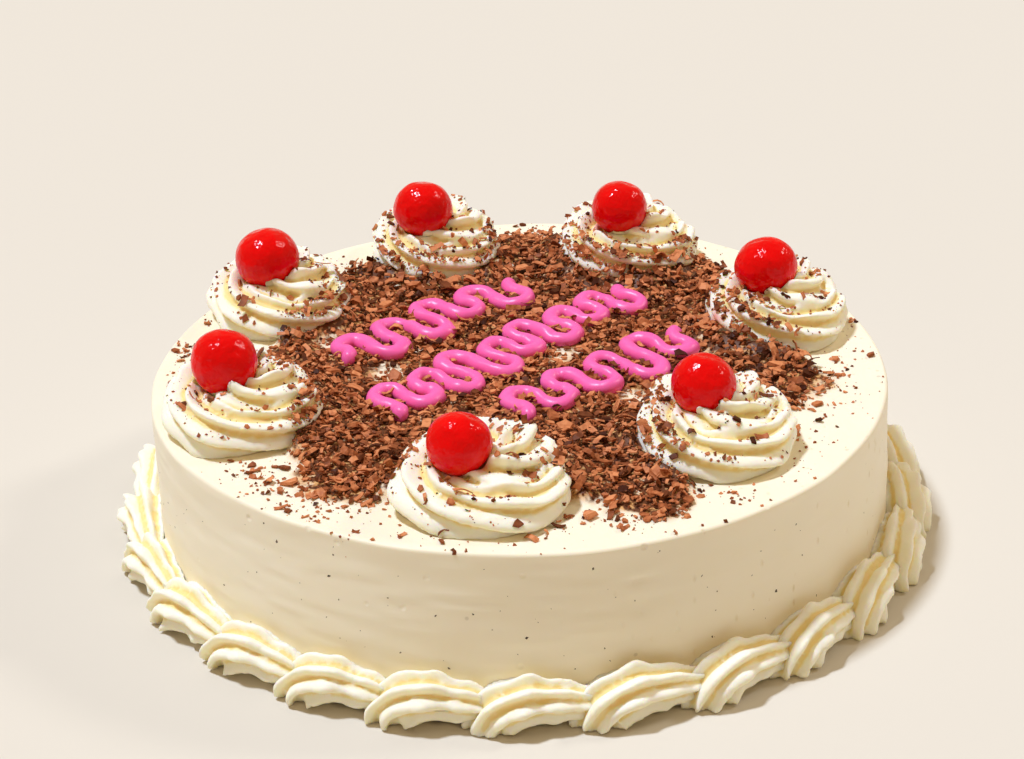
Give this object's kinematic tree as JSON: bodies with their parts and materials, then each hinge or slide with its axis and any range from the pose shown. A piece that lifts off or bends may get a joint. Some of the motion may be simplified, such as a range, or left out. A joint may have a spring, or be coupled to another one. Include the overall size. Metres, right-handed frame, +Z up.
{
  "type": "black forest cake",
  "caption": "Whole round black forest cake in cream icing, topped with piped rosettes, cherries, chocolate flakes and pink piping, with a shell border round its foot.",
  "frame": {"origin": "centre of the round cake's flat underside, on the surface it stands on", "axes": "+Z up out of the cake's top, -Y towards the front rosette and the viewer of the picture, +X to the right"},
  "size_m": [0.2701, 0.2707, 0.0841],
  "materials": {
    "icing": "satin",
    "piped_cream": "satin",
    "cherry": "glossy",
    "pink_piping": "satin",
    "chocolate": "matte"
  },
  "bodies": {
    "root": {"cake_body": "icing", "rosette_1": "piped_cream", "rosette_2": "piped_cream", "rosette_3": "piped_cream", "rosette_4": "piped_cream", "rosette_5": "piped_cream", "rosette_6": "piped_cream", "rosette_7": "piped_cream", "cherry_1": "cherry", "cherry_2": "cherry", "cherry_3": "cherry", "cherry_4": "cherry", "cherry_5": "cherry", "cherry_6": "cherry", "cherry_7": "cherry", "shell_01": "piped_cream", "shell_02": "piped_cream", "shell_03": "piped_cream", "shell_04": "piped_cream", "shell_05": "piped_cream", "shell_06": "piped_cream", "shell_07": "piped_cream", "shell_08": "piped_cream", "shell_09": "piped_cream", "shell_10": "piped_cream", "shell_11": "piped_cream", "shell_12": "piped_cream", "shell_13": "piped_cream", "shell_14": "piped_cream", "shell_15": "piped_cream", "shell_16": "piped_cream", "shell_17": "piped_cream", "shell_18": "piped_cream", "shell_19": "piped_cream", "shell_20": "piped_cream", "shell_21": "piped_cream", "shell_22": "piped_cream", "shell_23": "piped_cream", "shell_24": "piped_cream", "shell_25": "piped_cream", "piping_1": "pink_piping", "piping_2": "pink_piping", "piping_3": "pink_piping"}
  },
  "joints": []
}
